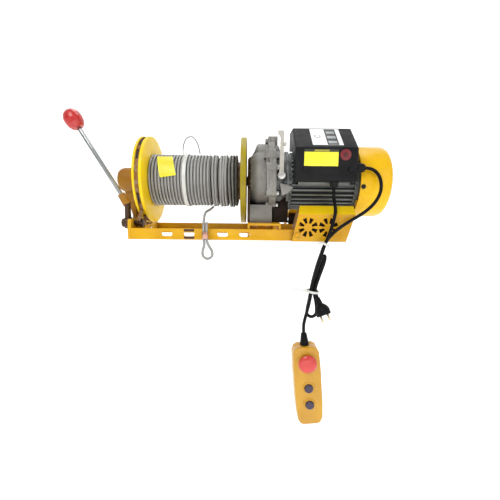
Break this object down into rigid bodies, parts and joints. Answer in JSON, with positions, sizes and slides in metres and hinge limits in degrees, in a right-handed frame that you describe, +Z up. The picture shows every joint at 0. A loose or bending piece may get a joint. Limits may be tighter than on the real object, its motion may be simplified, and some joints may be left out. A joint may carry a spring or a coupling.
{
  "type": "electric wire rope hoist",
  "caption": "Electric wire rope hoist: flanged drum between a lever brake and a geared finned motor on a slotted rail base, with capacitor box, power plug and hanging push-button pendant.",
  "frame": {"origin": "centre of the four base bolt holes, at the underside of the two base rails", "axes": "+X along the drum axis from the brake end to the motor end, +Y away from the operator side with the pendant and brake lever, +Z up out of the base"},
  "size_m": [0.6227, 0.2461, 0.5805],
  "materials": {
    "yellow_paint": "gloss machine enamel over sheet steel",
    "cast_aluminium": "sand-cast, lightly machined on its joint faces",
    "motor_grey": "dark grey finned aluminium shell",
    "black_plastic": "moulded, fine grain",
    "bright_steel": "zinc plated",
    "dark_steel": "oiled dark steel",
    "laminations": "stacked electrical steel",
    "wire_rope": "galvanised stranded rope, greased",
    "red_plastic": "moulded red",
    "cord_pvc": "PVC sheath",
    "white_nylon": "natural nylon",
    "copper": "copper",
    "friction_lining": "moulded friction lining",
    "pendant_yellow": "moulded yellow handset",
    "button_dark": "moulded dark button"
  },
  "bodies": {
    "frame": {"front_rail": "yellow_paint", "rear_rail": "yellow_paint", "left_end_plate": "yellow_paint", "gearbox_cross_member": "yellow_paint", "motor_cradle": "yellow_paint", "pedestal_front": "yellow_paint", "pedestal_rear": "yellow_paint", "bearing_bracket": "yellow_paint", "drum_bearings": "bright_steel", "brake_band": "yellow_paint", "brake_lining": "friction_lining", "gearbox_body": "cast_aluminium", "gearbox_cover": "cast_aluminium", "lay_bearings": "bright_steel", "clutch_pin": "bright_steel", "motor_housing": "motor_grey", "stator_core": "laminations", "stator_windings": "copper", "motor_bearings": "bright_steel", "rear_bell": "motor_grey", "fan_cover": "yellow_paint", "box_base": "black_plastic", "box_lid": "black_plastic", "capacitors": "bright_steel", "power_gland": "black_plastic", "pendant_gland": "black_plastic", "hex_bolts": "bright_steel", "small_screws": "bright_steel", "rope_tail": "wire_rope", "rope_ferrule": "copper", "power_cord": "cord_pvc", "power_plug": "cord_pvc", "pendant_cable": "cord_pvc", "cable_ties": "white_nylon", "pendant_front": "pendant_yellow", "pendant_back": "pendant_yellow", "pendant_boot": "cord_pvc", "contact_block": "black_plastic"},
    "drum": {"drum_shaft": "bright_steel", "brake_wheel": "yellow_paint", "flange_left": "yellow_paint", "drum_barrel": "yellow_paint", "flange_right": "yellow_paint", "rope_winding": "wire_rope", "rope_strap": "white_nylon", "output_gear": "dark_steel"},
    "lay_shaft": {"lay_pinion_shaft": "dark_steel", "lay_gear": "dark_steel"},
    "rotor": {"rotor_shaft": "bright_steel", "rotor_core": "laminations", "cooling_fan": "black_plastic"},
    "brake_lever": {"brake_lever_arm": "dark_steel", "brake_lever_rod": "bright_steel", "brake_lever_knob": "red_plastic", "brake_cam_shaft": "dark_steel"},
    "clutch_lever": {"clutch_lever": "bright_steel"},
    "estop_plunger": {"estop_stem": "red_plastic"},
    "estop_head": {"estop_cap": "red_plastic"},
    "up_key": {"up_button": "button_dark"},
    "down_key": {"down_button": "button_dark"}
  },
  "joints": [
    {"name": "drum_spin", "type": "hinge", "parent": "frame", "child": "drum", "pos_m": [0, 0, 0.114], "axis": [1, 0, 0], "continuous": true},
    {"name": "lay_shaft_spin", "type": "hinge", "parent": "frame", "child": "lay_shaft", "pos_m": [0.045, 0.02708, 0.14994], "axis": [1, 0, 0], "continuous": true},
    {"name": "rotor_spin", "type": "hinge", "parent": "frame", "child": "rotor", "pos_m": [0.1, 0, 0.114], "axis": [1, 0, 0], "continuous": true},
    {"name": "brake_lever_swing", "type": "hinge", "parent": "frame", "child": "brake_lever", "pos_m": [-0.21, -0.064, 0.029], "axis": [1, 0, 0], "range_deg": [0, 35]},
    {"name": "clutch_lever_swing", "type": "hinge", "parent": "frame", "child": "clutch_lever", "pos_m": [0.078, -0.072, 0.12], "axis": [0, 1, 0], "range_deg": [-25, 0]},
    {"name": "estop_press", "type": "slide", "parent": "frame", "child": "estop_plunger", "axis": [0, 1, 0], "range_m": [0, 0.004]},
    {"name": "estop_twist", "type": "hinge", "parent": "estop_plunger", "child": "estop_head", "pos_m": [0.12699, -0.14, -0.21688], "axis": [0, 1, 0], "range_deg": [0, 40], "stiffness_Nm_per_rad": 0.05},
    {"name": "up_press", "type": "slide", "parent": "frame", "child": "up_key", "axis": [0, 1, 0], "range_m": [0, 0.003], "stiffness_N_per_m": 500},
    {"name": "down_press", "type": "slide", "parent": "frame", "child": "down_key", "axis": [0, 1, 0], "range_m": [0, 0.003], "stiffness_N_per_m": 500}
  ],
  "couplings": [
    {"joint": "lay_shaft_spin", "follows": "drum_spin", "ratio": -3.2857},
    {"joint": "rotor_spin", "follows": "drum_spin", "ratio": 13.143}
  ]
}
